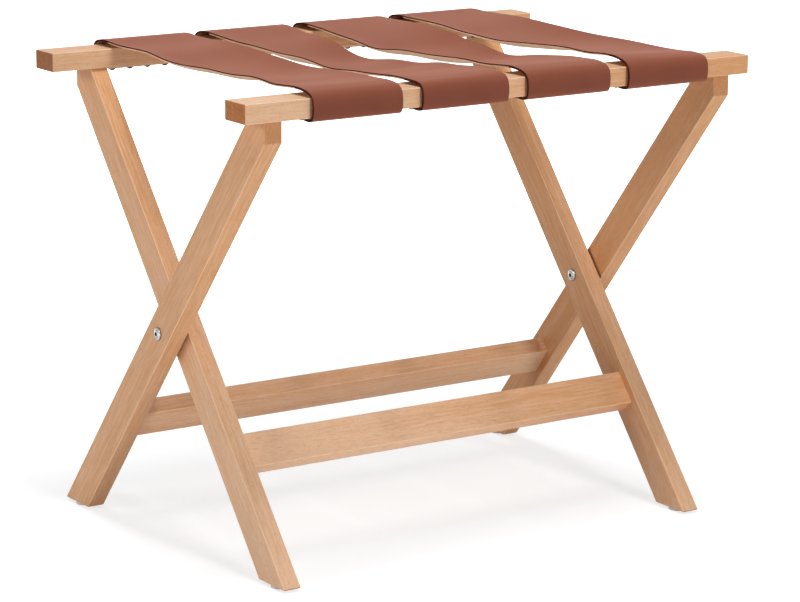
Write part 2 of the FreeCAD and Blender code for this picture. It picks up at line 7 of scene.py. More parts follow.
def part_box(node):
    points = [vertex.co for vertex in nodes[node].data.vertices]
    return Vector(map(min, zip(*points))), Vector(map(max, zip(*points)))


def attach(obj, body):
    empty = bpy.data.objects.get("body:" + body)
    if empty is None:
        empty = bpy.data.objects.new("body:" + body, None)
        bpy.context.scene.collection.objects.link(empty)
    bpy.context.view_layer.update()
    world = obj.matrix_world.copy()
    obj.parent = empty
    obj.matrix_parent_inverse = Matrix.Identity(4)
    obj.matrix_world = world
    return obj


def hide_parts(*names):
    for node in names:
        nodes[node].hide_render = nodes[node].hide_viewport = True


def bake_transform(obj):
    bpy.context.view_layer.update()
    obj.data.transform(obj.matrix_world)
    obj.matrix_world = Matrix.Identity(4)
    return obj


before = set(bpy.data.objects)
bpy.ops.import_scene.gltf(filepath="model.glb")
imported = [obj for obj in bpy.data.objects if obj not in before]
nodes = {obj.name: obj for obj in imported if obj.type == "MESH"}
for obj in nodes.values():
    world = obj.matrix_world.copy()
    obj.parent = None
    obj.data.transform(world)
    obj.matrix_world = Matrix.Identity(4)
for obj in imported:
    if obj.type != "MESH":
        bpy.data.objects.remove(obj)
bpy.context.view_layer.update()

# ------------------------------------------------------------------------ beech frames
# Two rails, four legs and two stretchers of straight-grained beech, planed to 38 x 20 mm,
# with eased edges and a clear satin lacquer. Every piece shows its own stretch of grain, and
# the sawn ends and the upright cut on top of each leg show darker end grain.

LEG_SLOPE = math.radians(39.25)  # leg from the vertical
BEECH_PALE = (0.800, 0.520, 0.335, 1)
BEECH_WARM = (0.660, 0.334, 0.150, 1)
BEECH_PORE = (0.440, 0.205, 0.100, 1)
BEECH_END_PALE = (0.520, 0.200, 0.062, 1)
BEECH_END_DARK = (0.310, 0.100, 0.026, 1)
# a pale colour painted on the eased edges as a highlight
BEECH_PAINTED_HIGHLIGHT = (0.960, 0.720, 0.500, 1)
# The wood's figure, in cells to the metre: along the grain, and across it both ways.
GROWTH_BANDS = (1.7, 60.0, 36.0)
STREAKS = (24.0, 480.0, 420.0)
PORES = (115.0, 1500.0, 1500.0)
RAY_FLECKS = (300.0, 1500.0, 900.0)
CLOUDS = (3.5, 14.0, 14.0)
END_RINGS = (60.0, 1250.0, 130.0)
END_SPECKS = (300.0, 2200.0, 2200.0)
END_SLANT = math.radians(50)  # how the rings cross the sawn end
# How much of it shows, as a share of the way from one colour to the other.
BAND_CHANGE = 0.9
STREAK_CHANGE = 1.7
PORE_SHADE = 0.34
FLECK_SHADE = 0.24
SPECK_SHADE = 0.45
# how far the eased edges go towards that painted highlight
ARRIS_HIGHLIGHT_SHARE = 0.75
FLAT_COSINE = 0.97  # a normal at least this near to a face's own is on the flat
EASED_GAIN = 3.5
END_ROUGHNESS = 0.62


def add_node(tree, kind, inputs=None, **settings):
    """Adds a shader node. Inputs go by socket name or number: a value, or another node's output."""
    node = tree.nodes.new("ShaderNode" + kind)
    for name, setting in settings.items():
        setattr(node, name, setting)
    for name, given in (inputs or {}).items():
        socket = node.inputs[name]
        if isinstance(given, bpy.types.NodeSocket):
            tree.links.new(given, socket)
        else:
            socket.default_value = given
    return node


def new_material(name, **sockets):
    """A material with its Principled shader, whose plain sockets are set by name."""
    material = bpy.data.materials.new(name)
    material.use_nodes = True
    shader = material.node_tree.nodes["Principled BSDF"]
    for socket, given in sockets.items():
        shader.inputs[socket.replace("_", " ")].default_value = given
    return material, material.node_tree, shader


def ramp(tree, factor, stops):
    """Maps a factor through colours or greys at places from 0 to 1."""
    node = add_node(tree, "ValToRGB", {0: factor})
    elements = node.color_ramp.elements
    while len(elements) < len(stops):
        elements.new(0.5)
    for element, (place, colour) in zip(elements, stops):
        element.position = place
        element.color = colour if hasattr(colour, "__len__") else (colour, colour, colour, 1)
    return node.outputs["Color"]


def mix(tree, factor, first, second, blend="MIX"):
    """Mixes two colours by a factor."""
    node = add_node(tree, "Mix", {0: factor, 6: first, 7: second}, data_type="RGBA", blend_type=blend)
    return node.outputs[2]


def arithmetic(tree, operation, first, second=0.0, third=0.0, clamp=False):
    """One step of arithmetic between sockets or numbers."""
    node = add_node(tree, "Math", {0: first, 1: second, 2: third}, operation=operation, use_clamp=clamp)
    return node.outputs[0]


def stretched_noise(tree, place, stretch, detail=3.0, roughness=0.5, distortion=0.0):
    """Noise with its own number of cells to the metre along each axis."""
    scaled = add_node(tree, "VectorMath", {0: place, 1: stretch}, operation="MULTIPLY")
    noise = add_node(tree, "TexNoise", {"Vector": scaled.outputs[0], "Scale": 1.0, "Detail": detail,
                                        "Roughness": roughness, "Distortion": distortion})
    return noise.outputs["Fac"]


def beech(name, along, cut, warmth, drift=0.0, ends=1.0, side=None, tone=1.0):
    """Lacquered beech whose grain runs along a direction.

    The object's coordinates are turned until X is that direction, and shifted by cut, so that
    each piece is sawn from another place of the plank. The colour lies between pale and warm:
    a warmth of the piece's own, which is partly its wood and partly painted shade, plus broad
    growth bands, plus a drift with the distance along the grain, which is painted shade that
    warms and darkens the piece towards its less lit end. Short streaks, dark pores and small ray
    flecks go over it, and a tone scales its brightness; a tone above 1 is painted light. A face
    that looks along the grain shows the darker, slanting figure of end grain, whose brightness is
    ends. The eased edges along the grain, whose normals lie between two faces, are painted paler
    as a highlight. A tilted piece gives the normal of one of its long faces as side.
    """
    material, tree, shader = new_material("beech_" + name, IOR=1.47, Specular_IOR_Level=0.16,
                                          Coat_Weight=0.06, Coat_Roughness=0.22)
    turn = Vector(along).rotation_difference(Vector((1, 0, 0))).to_euler()
    coordinates = add_node(tree, "TexCoord")
    mapping = add_node(tree, "Mapping", {"Vector": coordinates.outputs["Object"],
                                         "Location": cut, "Rotation": tuple(turn)})
    place = mapping.outputs[0]

    bands = stretched_noise(tree, place, GROWTH_BANDS, 3.0, 0.5, 0.25)
    streaks = stretched_noise(tree, place, STREAKS, 3.0, 0.6, 0.1)
    pores = stretched_noise(tree, place, PORES, 2.0, 0.55)
    flecks = stretched_noise(tree, place, RAY_FLECKS, 1.0, 0.5)
    cloud = stretched_noise(tree, place, CLOUDS, 2.0, 0.5)

    def dot(output, direction):
        product = add_node(tree, "VectorMath", {0: coordinates.outputs[output], 1: tuple(direction)},
                           operation="DOT_PRODUCT")
        return product.outputs["Value"]

    # the long faces
    # the piece's warmth is partly its own wood and partly painted shade
    blend = arithmetic(tree, "MULTIPLY_ADD", bands, BAND_CHANGE, warmth - BAND_CHANGE / 2)
    # painted shade: a drift along the grain warms and darkens the piece towards its less lit end
    blend = arithmetic(tree, "ADD", blend, arithmetic(tree, "MULTIPLY", dot("Object", along), drift))
    change = arithmetic(tree, "MULTIPLY_ADD", streaks, STREAK_CHANGE, -STREAK_CHANGE / 2)
    blend = arithmetic(tree, "ADD", blend, change, clamp=True)
    face = mix(tree, blend, BEECH_PALE, BEECH_WARM)
    pore_mask = ramp(tree, pores, [(0.52, 0.0), (0.70, 1.0)])
    face = mix(tree, arithmetic(tree, "MULTIPLY", pore_mask, PORE_SHADE), face, BEECH_PORE)
    fleck_mask = ramp(tree, flecks, [(0.60, 0.0), (0.68, 1.0)])
    face = mix(tree, arithmetic(tree, "MULTIPLY", fleck_mask, FLECK_SHADE), face, BEECH_PORE)
    # a random cloudy brightness, scaled by the tone; a tone above 1 is painted light
    brightness = ramp(tree, cloud, [(0.30, 0.94 * tone), (0.70, 1.05 * tone)])
    face = mix(tree, 1.0, face, brightness, "MULTIPLY")

    # the sawn ends
    slant = add_node(tree, "Mapping", {"Vector": place, "Rotation": (END_SLANT, 0, 0)}).outputs[0]
    rings = stretched_noise(tree, slant, END_RINGS, 3.0, 0.6, 0.3)
    specks = stretched_noise(tree, place, END_SPECKS, 2.0, 0.6)
    end = mix(tree, ramp(tree, rings, [(0.36, 0.0), (0.66, 1.0)]), BEECH_END_PALE, BEECH_END_DARK)
    speck_mask = ramp(tree, specks, [(0.50, 0.0), (0.68, 1.0)])
    end = mix(tree, arithmetic(tree, "MULTIPLY", speck_mask, SPECK_SHADE), end, BEECH_END_DARK)
    end = mix(tree, 1.0, end, (ends, ends, ends, 1), "MULTIPLY")

    # which of them a point is on, or whether it is on an eased edge
    first_side = Vector(side or ((0, 1, 0) if along[0] else (1, 0, 0)))
    second_side = first_side.cross(Vector(along))
    towards, first, second = [arithmetic(tree, "ABSOLUTE", dot("Normal", way))
                              for way in (along, first_side, second_side)]
    squarely = arithmetic(tree, "MAXIMUM", arithmetic(tree, "MAXIMUM", first, second), towards)
    between = arithmetic(tree, "SUBTRACT", FLAT_COSINE, squarely)
    eased = arithmetic(tree, "MULTIPLY", between, EASED_GAIN, clamp=True)
    eased = arithmetic(tree, "MULTIPLY", eased, ramp(tree, towards, [(0.10, 1.0), (0.30, 0.0)]))
    # painted highlight: the eased edges along the grain are mixed towards a pale colour
    face = mix(tree, arithmetic(tree, "MULTIPLY", eased, ARRIS_HIGHLIGHT_SHARE), face, BEECH_PAINTED_HIGHLIGHT)
    sawn = ramp(tree, towards, [(0.35, 0.0), (0.92, 1.0)])
    tree.links.new(mix(tree, sawn, face, end), shader.inputs["Base Color"])

    gloss = ramp(tree, streaks, [(0.35, 0.44), (0.70, 0.54)])
    dull = (END_ROUGHNESS, END_ROUGHNESS, END_ROUGHNESS, 1)
    tree.links.new(mix(tree, sawn, gloss, dull), shader.inputs["Roughness"])
    relief = arithmetic(tree, "ADD", arithmetic(tree, "MULTIPLY", streaks, 0.4),
                        arithmetic(tree, "MULTIPLY", pore_mask, -0.6))
    bump = add_node(tree, "Bump", {"Height": relief, "Strength": 0.14, "Distance": 0.0003})
    tree.links.new(bump.outputs[0], shader.inputs["Normal"])
    return material


def dress(node, material):
    """Gives a CAD node a finished material in every slot."""
    mesh = nodes[node].data
    if not mesh.materials:
        mesh.materials.append(material)
    for slot in range(len(mesh.materials)):
        mesh.materials[slot] = material


def dress_in_beech(node, along, cut, **figure):
    """Gives a CAD node its own beech."""
    dress(node, beech(node, along, cut, **figure))


along_bench = (1, 0, 0)
outer_grain = (0.0, -math.sin(LEG_SLOPE), math.cos(LEG_SLOPE))
inner_grain = (0.0, math.sin(LEG_SLOPE), math.cos(LEG_SLOPE))
# Each piece's warmth is partly its own wood and partly painted shade, warmer and darker on the right-hand
# legs. The drifts are painted shade towards the right ends of the rails and the inner stretcher, and
# towards the legs' tops under the straps. The stretchers' tones above 1 are painted light.
dress_in_beech("outer_rail", along_bench, (0.57, 0.31, 0.12), warmth=0.48, drift=1.0, ends=1.06)
dress_in_beech("outer_leg_left", outer_grain, (1.03, 0.23, 0.66), warmth=0.73, drift=0.4)
dress_in_beech("outer_leg_right", outer_grain, (2.67, 0.58, 0.93), warmth=0.90)
dress_in_beech("outer_stretcher", along_bench, (1.27, 0.77, 0.41), warmth=0.24, side=outer_grain, tone=1.07)
dress_in_beech("inner_rail", along_bench, (-0.17, 0.51, 0.82), warmth=0.63, drift=0.45, ends=0.70)
dress_in_beech("inner_leg_left", inner_grain, (1.77, 0.43, 0.36), warmth=0.20, drift=1.30)
dress_in_beech("inner_leg_right", inner_grain, (1.93, 0.28, 0.13), warmth=0.46, drift=1.15)
dress_in_beech("inner_stretcher", along_bench, (0.53, 0.97, 0.21), warmth=0.24, drift=2.6,
               side=inner_grain, tone=1.18)

# ------------------------------------------------------------------------ dowels
# Sixteen 8 mm dowels of bare beech, glued into blind holes between rails, legs and
# stretchers. They are wholly inside the timber, so they need only a plain wood finish.

for prefix in ("outer", "inner"):
    dress_in_beech(prefix + "_rail_dowels", (0, 0, 1), (0.1, 0.2, 0.3), warmth=0.4)
    dress_in_beech(prefix + "_stretcher_dowels", along_bench, (0.5, 0.1, 0.2), warmth=0.4)

# ------------------------------------------------------------------------ pivots
# On each side a nickelled cap screw with a low domed head goes through the outer leg into a
# sleeve nut, whose like head is on the inner leg's inner face. Both take a 4 mm key. A zinc
# washer keeps the legs 3 mm apart.

HEAD_RADIUS = 0.0070
HEAD_HEIGHT = 0.0028
HEAD_RIM = 0.0009  # height of the head's edge
RIM_SHARE = 0.985  # where the dome ends, as a share of the radius
HEX_HALF = 0.0020  # half the socket's width across its flats
HEX_DEPTH = 0.0018
HEX_BEVEL = 0.00025
FLOOR_DIP = 0.0005  # the drill's mark in the socket's floor
CORNER = 0.0002  # rounding between the socket's floor and walls
SHOULDER = 0.0003  # rounding between head and shank
TIP_CHAMFER = 0.0006
SCREW_SHANK = (0.0025, 0.030)  # radius and length
SLEEVE_SHANK = (0.0040, 0.043)
AROUND = 96  # points round a ring
NICKEL = (0.62, 0.61, 0.59, 1)
ZINC = (0.52, 0.53, 0.55, 1)
# Painted light on a head, by the distance from its axis, in centimetres: painted shade in the
# socket, a painted highlight on its mouth, a dull ring of painted reflection and a brighter ring
# on the dome, and painted shade towards the rim.
HEAD_PAINTED_LIGHT = [(0.215, (0.020, 0.019, 0.018, 1)), (0.255, (0.50, 0.49, 0.47, 1)),
               (0.40, (0.28, 0.27, 0.26, 1)), (0.52, (0.60, 0.59, 0.57, 1)), (0.66, (0.22, 0.21, 0.20, 1))]


def metal(name, colour, roughness, marks, metallic=1.0, specular=0.5):
    """Plated steel with fine marks, so many to the metre, and a faint clouding of its gloss."""
    material, tree, shader = new_material(name, Metallic=metallic, Specular_IOR_Level=specular,
                                          Base_Color=colour)
    place = add_node(tree, "TexCoord").outputs["Object"]
    cloud = add_node(tree, "TexNoise", {"Vector": place, "Scale": 260.0, "Detail": 3.0}).outputs["Fac"]
    tree.links.new(ramp(tree, cloud, [(0.3, roughness * 0.75), (0.7, roughness * 1.35)]),
                   shader.inputs["Roughness"])
    fine = add_node(tree, "TexNoise", {"Vector": place, "Scale": marks, "Detail": 2.0}).outputs["Fac"]
    bump = add_node(tree, "Bump", {"Height": fine, "Strength": 0.05, "Distance": 0.0001})
    tree.links.new(bump.outputs[0], shader.inputs["Normal"])
    return material


def lathe(name, rings, centre, flip):
    """A closed surface round the X line through centre.

    Each ring is (x, radius), and a radius may change with the angle. Its points are
    (x, radius cos a, radius sin a). Neighbouring rings are joined by quads, and one point on
    the axis closes either end with triangles. flip turns the faces over.
    """
    angle = np.linspace(0, 2 * math.pi, AROUND, endpoint=False)
    x = np.array([ring[0] + 0 * angle for ring in rings[1:-1]])
    radius = np.array([ring[1] + 0 * angle for ring in rings[1:-1]])
    points = np.stack([x, centre.y + radius * np.cos(angle), centre.z + radius * np.sin(angle)], 2)
    rows = len(points)
    column = np.arange(AROUND)
    following = (column + 1) % AROUND
    start = (np.arange(rows - 1) * AROUND)[:, None]
    quads = np.stack([start + column, start + following, start + AROUND + following,
                      start + AROUND + column], 2).reshape(-1, 4)
    first, last = rows * AROUND, rows * AROUND + 1
    faces = quads.tolist()
    faces += [[first, after, now] for now, after in zip(column.tolist(), following.tolist())]
    foot = (rows - 1) * AROUND
    faces += [[last, foot + now, foot + after] for now, after in zip(column.tolist(), following.tolist())]
    if flip:
        faces = [face[::-1] for face in faces]
    poles = [(rings[0][0], centre.y, centre.z), (rings[-1][0], centre.y, centre.z)]
    mesh = bpy.data.meshes.new(name)
    mesh.from_pydata(points.reshape(-1, 3).tolist() + poles, [], faces)
    mesh.shade_smooth()
    piece = bpy.data.objects.new(name, mesh)
    bpy.context.scene.collection.objects.link(piece)
    return piece


def pivot_rings(shank_radius, shank_length):
    """Rings of a head and its shank, as (height over the seat, radius), from pole to pole.

    They run from the middle of the socket's floor up its walls and over the dome, which is part
    of a sphere down to the rim, and back along the shank. The socket's radius is its half width
    over the cosine of the angle from the nearest flat's middle, and the first rings of the dome
    change evenly from that shape to a circle.
    """
    angle = np.linspace(0, 2 * math.pi, AROUND, endpoint=False)
    hexagon = HEX_HALF / np.cos((angle + math.pi / 6) % (math.pi / 3) - math.pi / 6)
    rise = HEAD_HEIGHT - HEAD_RIM
    sphere = (HEAD_RADIUS ** 2 + rise ** 2) / (2 * rise)

    def dome(radius):
        return HEAD_HEIGHT - sphere + np.sqrt(sphere ** 2 - radius ** 2)

    floor = dome(HEX_HALF) - HEX_DEPTH
    mouth = hexagon + HEX_BEVEL
    rings = [(floor - FLOOR_DIP, 0.0), (floor - CORNER, 0.5 * HEX_HALF), (floor, hexagon - CORNER),
             (floor + CORNER, hexagon), (dome(mouth) - 1.5 * HEX_BEVEL, hexagon),
             (dome(mouth) - 0.3 * HEX_BEVEL, hexagon + 0.6 * HEX_BEVEL), (dome(mouth), mouth)]
    for share in np.linspace(0.12, 1.0, 10):
        radius = mouth * (1 - share) + RIM_SHARE * HEAD_RADIUS * share
        rings.append((dome(radius), radius))
    rings += [(HEAD_RIM * 0.8, HEAD_RADIUS), (HEAD_RIM * 0.15, HEAD_RADIUS),
              (0.0, RIM_SHARE * HEAD_RADIUS), (0.0, shank_radius + SHOULDER), (-SHOULDER, shank_radius),
              (TIP_CHAMFER - shank_length, shank_radius), (-shank_length, shank_radius - TIP_CHAMFER),
              (-shank_length, 0.0)]
    return rings


def paint_light_on_heads(material, axis_height):
    """Paints light and shade on the nickel by the distance from the bolts' common axis, the X line at that
    height.
    """
    tree = material.node_tree
    place = add_node(tree, "TexCoord").outputs["Object"]
    apart = add_node(tree, "VectorMath", {0: place, 1: (0.0, 0.0, axis_height)}, operation="SUBTRACT")
    flat = add_node(tree, "VectorMath", {0: apart.outputs[0], 1: (0.0, 1.0, 1.0)}, operation="MULTIPLY")
    distance = add_node(tree, "VectorMath", {0: flat.outputs[0]}, operation="LENGTH").outputs["Value"]
    # painted shade, highlight and reflection, ring by ring
    head_painted_light = ramp(tree, arithmetic(tree, "DIVIDE", distance, 0.01), HEAD_PAINTED_LIGHT)
    tree.links.new(head_painted_light, tree.nodes["Principled BSDF"].inputs["Base Color"])


low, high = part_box("pivot_screw_left")
nickel = metal("nickel", NICKEL, 0.17, 1800.0)
paint_light_on_heads(nickel, (low.z + high.z) / 2)
zinc = metal("zinc", ZINC, 0.32, 3000.0)

for side, hand in (("left", -1), ("right", 1)):
    for kind, looks, shank in (("screw", hand, SCREW_SHANK), ("sleeve", -hand, SLEEVE_SHANK)):
        node = "pivot_%s_%s" % (kind, side)
        low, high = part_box(node)
        seat = (high.x if looks > 0 else low.x) - looks * HEAD_HEIGHT
        rings = [(seat + looks * height, radius) for height, radius in pivot_rings(*shank)]
        piece = lathe("%s_%s" % (kind, side), rings, (low + high) / 2, flip=looks > 0)
        piece.data.materials.append(nickel)
        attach(piece, "outer_frame")
        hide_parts(node)
    dress("pivot_washer_" + side, zinc)

# ------------------------------------------------------------------------ glides
# Under each foot a 19 mm disc of natural nylon, milky and a little translucent, held by one
# bright nail whose head is sunk below the disc's face.

NYLON_DULL = (0.62, 0.62, 0.60, 1)
NYLON_CLEAR = (0.74, 0.74, 0.72, 1)
BRIGHT_STEEL = (0.60, 0.60, 0.61, 1)


def milky_nylon():
    """Nylon with a soft haze and fine scuffs."""
    material, tree, shader = new_material("nylon", Roughness=0.38, IOR=1.53, Subsurface_Weight=0.5,
                                          Subsurface_Scale=0.002)
    place = add_node(tree, "TexCoord").outputs["Object"]
    haze = add_node(tree, "TexNoise", {"Vector": place, "Scale": 300.0, "Detail": 3.0}).outputs["Fac"]
    colour = ramp(tree, haze, [(0.3, NYLON_DULL), (0.7, NYLON_CLEAR)])
    tree.links.new(colour, shader.inputs["Base Color"])
    scuffs = add_node(tree, "TexNoise", {"Vector": place, "Scale": 1500.0, "Detail": 4.0}).outputs["Fac"]
    bump = add_node(tree, "Bump", {"Height": scuffs, "Strength": 0.12, "Distance": 0.0001})
    tree.links.new(bump.outputs[0], shader.inputs["Normal"])
    return material


nylon = milky_nylon()
bright_steel = metal("bright_steel", BRIGHT_STEEL, 0.30, 2500.0)
for prefix in ("outer", "inner"):
    for side in ("left", "right"):
        dress("%s_glide_%s" % (prefix, side), nylon)
    dress(prefix + "_glide_nails", bright_steel)

# ------------------------------------------------------------------------ leather straps
# Four straps of thick vegetable-tanned leather, 104 mm wide, brown and smooth outside and tan
# suede inside. Each is cut to length, stained dark along its edges, carried over both rails and
# tacked underneath; round the rails the rest of its edges is painted dark as shade. It stands a
# little off the wood, and its edges curl and wave.

HALF = 0.00125  # half the leather's thickness
CUP = 0.0072  # how far a strap's middle hangs below its edges
CUP_REACH = 0.195  # distance from the bench's middle at which the cup has faded out
CUP_FADE = 1.3  # a higher power fades it sooner
CUP_SIDES = (4.0, 2.6)  # a higher power keeps the left or the right half flat further out
SHIFT_REACH = 0.2  # distance from the middle at which a sideways shift is whole
LIFT_START = -0.002  # height over the rail's top from which the waves act
LIFT_RISE = 0.008  # and the rise over which they come in
LEVEL = 6.9  # leather's top above the rails in the span, in millimetres
# Side view of the strap's outer face round the front rail: outwards from the rail's outer
# face and upwards from its top, in millimetres, from the flap's end to the span.
WRAP = [(-30, -22.8), (-24, -22.9), (-18, -23.1), (-12, -23.5), (-6, -23.9), (-1, -23.6), (3.6, -21.6),
        (5.7, -16), (6.2, -10), (5.6, -4.4), (3.4, 0.9), (-1.8, 4.6), (-8, 6.3), (-14.6, 7.1), (-21, 7.4),
        (-28, 7.3), (-36, 7.0)]
SPAN_STEP = 20  # between the span's points, in millimetres
# Outline of a cut edge, from the grain side to the flesh side: out from the last of the flat and
# up from the leather's middle, in millimetres.
CUT = [(0.28, 1.20), (0.48, 1.00), (0.56, 0.70), (0.58, -0.1), (0.56, -0.70), (0.48, -1.00), (0.28, -1.20)]
DARK_STEPS = 4  # steps of the outline that are stained, from the grain side
SHADED_BEND = 0.186  # past this distance from the middle the raw part of the edge is painted dark too, as painted shade round the rails
# Each strap's sideways shift at the front and at the rear rail, in millimetres.
SHIFTS = [(0.7, -0.9), (0.5, -4.0), (0.0, -6.2), (0.0, -7.1)]
# Waves of each edge in the span: place across the bench, depth and half-width in millimetres.
WAVES = [
    ([(40, 5.0, 62), (100, -1.2, 22), (160, 1.1, 26), (-58, 1.9, 36), (-108, -1.0, 24), (-146, 1.0, 16),
      (-182, -0.8, 16)],
     [(-45, 4.8, 52), (30, 1.5, 45), (125, -1.5, 42), (150, 1.9, 34), (-110, 0.8, 35)]),
    ([(45, 4.3, 62), (132, 2.0, 36), (-52, 7.0, 42), (-118, 3.3, 44), (-196, 1.5, 16)],
     [(38, 17.0, 66), (150, 3.0, 32), (-60, 7.6, 46), (-130, 2.2, 26)]),
    ([(56, 9.0, 44), (122, 3.3, 36), (-30, 4.7, 66), (-140, 1.2, 20), (-184, -1.0, 16)],
     [(-45, 12.9, 54), (28, 4.0, 36), (-118, 2.4, 34), (125, -1.3, 30)]),
    ([(12, 5.2, 60), (78, 1.7, 30), (-112, -1.8, 32), (-180, -2.8, 26)],
     [(-30, 2.3, 62), (-150, 2.5, 62), (105, -1.2, 40)]),
]
ACROSS = 29  # points across a face
PIECES = 8  # rows of points between two points of the side view
GRAIN_SIDE, FLESH_SIDE, STAIN_AND_SHADE_EDGE, RAW_EDGE = range(4)  # the leathers' slots, in this order


def spline(points, pieces):
    """A smooth curve through points: the uniform cubic B-spline whose joints fall on them.

    Its control points solve (before + 4 here + after) / 6 = point, and the two ends are fixed.
    Each stretch weighs four neighbouring control points by the spline's four cubics.
    """
    count = len(points)
    system = (np.eye(count) * 4 + np.eye(count, k=1) + np.eye(count, k=-1)) / 6
    system[0] = np.eye(count)[0]
    system[-1] = np.eye(count)[-1]
    control = np.linalg.solve(system, points)
    control = np.vstack([2 * control[0] - control[1], control, 2 * control[-1] - control[-2]])
    share = np.linspace(0, 1, pieces, endpoint=False)[:, None]
    weights = np.hstack([(1 - share) ** 3, 3 * share ** 3 - 6 * share ** 2 + 4,
                         -3 * share ** 3 + 3 * share ** 2 + 3 * share + 1, share ** 3]) / 6
    windows = np.stack([control[i:count - 1 + i] for i in range(4)], 1)
    return np.vstack([np.einsum("sk,nkd->nsd", weights, windows).reshape(-1, 2), points[-1:]])


def waves(y, listed):
    """Height of an edge over the span's level: each wave is a bell, exp(-((y - place) / width)^2)."""
    return -sum(depth / 1000 * np.exp(-((y * 1000 - place) / width) ** 2) for place, depth, width in listed)


def strap_surface(path, rail_top, left, right, shifts, left_waves, right_waves):
    """Points of a strap's outer face, on a grid of path by width.

    Height is a straight mix of the two edges' waves, less a cup: with u from 0 at the left edge
    to 1 at the right, the middle hangs below the edges by cup (1 - |2u - 1|^side), and the cup
    fades out towards the rails as (1 - (y / reach)^2)^fade. Both act only on the leather that is
    level with the rail's top. The sideways shift changes evenly from the front rail to the rear.
    """
    u = np.linspace(0, 1, ACROSS)[None, :]
    y = path[:, :1] + 0 * u
    front, rear = np.array(shifts) / 1000
    over = np.clip((path[:, 1:] - LIFT_START) / LIFT_RISE, 0, 1)
    fade = np.clip(1 - (y / CUP_REACH) ** 2, 0, 1) ** CUP_FADE
    hollow = 1 - np.abs(2 * u - 1) ** np.where(u < 0.5, *CUP_SIDES)
    lift = waves(y, left_waves) * (1 - u) + waves(y, right_waves) * u - CUP * fade * hollow
    shift = (front + rear) / 2 + (rear - front) / 2 * np.clip(y / SHIFT_REACH, -1, 1)
    return np.stack([left + (right - left) * u + shift, y, rail_top + path[:, 1:] + lift * over], 2)


def unit(vectors):
    """Vectors of length one."""
    return vectors / np.linalg.norm(vectors, axis=-1, keepdims=True)


def distance_along(points):
    """Distance of each point from the first, along the line through them."""
    return np.concatenate([[0], np.linalg.norm(np.diff(points, axis=0), axis=1).cumsum()])


def strap_mesh(name, outer, materials):
    """A closed strap from its outer face, and the length along its middle.

    Each cross-section is a loop round the leather: over the grain side, down the right cut edge,
    back along the flesh side and up the left cut edge. The map's first number is the length
    round the loop and its second is the length along the strap, both in metres.
    """
    along = unit(np.gradient(outer, axis=0))
    across = unit(np.gradient(outer, axis=1))
    normal = unit(np.cross(across, along))
    middle = outer - normal * HALF
    out, up = (np.array(CUT) / 1000).T[:, None, :, None]
    right_cut = middle[:, -1:] + across[:, -1:] * (out - out.max()) + normal[:, -1:] * up
    left_cut = middle[:, :1] - across[:, :1] * (out - out.max()) + normal[:, :1] * up
    inset = np.linspace(1, -1, ACROSS)[None, :, None] * out.max()
    top = outer + across * inset
    rings = np.concatenate([top, right_cut, (top - normal * 2 * HALF)[:, ::-1], left_cut[:, ::-1]], 1)
    rows, columns = rings.shape[:2]
    row = (np.arange(rows - 1) * columns)[:, None]
    column = np.arange(columns)
    following = (column + 1) % columns
    quads = np.stack([row + column, row + following, row + columns + following, row + columns + column], 2)
    right_flesh = ACROSS + len(CUT)
    left_flesh = right_flesh + ACROSS - 1
    kind = np.full(columns, STAIN_AND_SHADE_EDGE)
    kind[:ACROSS - 1] = GRAIN_SIDE
    kind[ACROSS - 1 + DARK_STEPS:right_flesh] = RAW_EDGE
    kind[right_flesh:left_flesh] = FLESH_SIDE
    kind[left_flesh:columns - DARK_STEPS] = RAW_EDGE
    centre = outer[:, ACROSS // 2]
    # painted shade: round the rails the raw part of each edge takes the dark stain colour
    painted_shade_rows = np.abs((centre[1:, 1] + centre[:-1, 1]) / 2) > SHADED_BEND
    kinds = np.where(painted_shade_rows[:, None] & (kind == RAW_EDGE), STAIN_AND_SHADE_EDGE, kind)

    loop = rings[rows // 2]
    around, length = distance_along(np.vstack([loop, loop[:1]])), distance_along(centre)
    u = np.stack([around[:-1], around[1:], around[1:], around[:-1]], 1)[None]
    v = np.stack([length[:-1], length[:-1], length[1:], length[1:]], 1)[:, None]
    cell_map = np.stack(np.broadcast_arrays(u, v), 3)

    # each end is closed by quads from the grain side to the flesh side and by a cap at either cut
    ends = [[now, left_flesh - now, left_flesh - now - 1, now + 1] for now in range(ACROSS - 1)]
    ends.append(list(range(ACROSS - 1, right_flesh + 1))[::-1])
    ends.append([0] + list(range(left_flesh, columns))[::-1])
    last = (rows - 1) * columns
    ends += [[corner + last for corner in end][::-1] for end in ends]
    faces = quads.reshape(-1, 4).tolist() + ends
    flat_map = np.zeros((sum(len(face) for face in faces), 2))
    flat_map[:quads.size] = cell_map.reshape(-1, 2)
    kinds = np.concatenate([kinds.ravel(), np.full(len(ends), RAW_EDGE)])

    mesh = bpy.data.meshes.new(name)
    mesh.from_pydata(rings.reshape(-1, 3).tolist(), [], faces)
    mesh.uv_layers.new(name="strap_map").data.foreach_set("uv", flat_map.ravel())
    mesh.polygons.foreach_set("material_index", kinds.astype(int))
    mesh.shade_smooth()
    for material in materials:
        mesh.materials.append(material)
    piece = bpy.data.objects.new(name, mesh)
    bpy.context.scene.collection.objects.link(piece)
    return piece, float(length[-1])


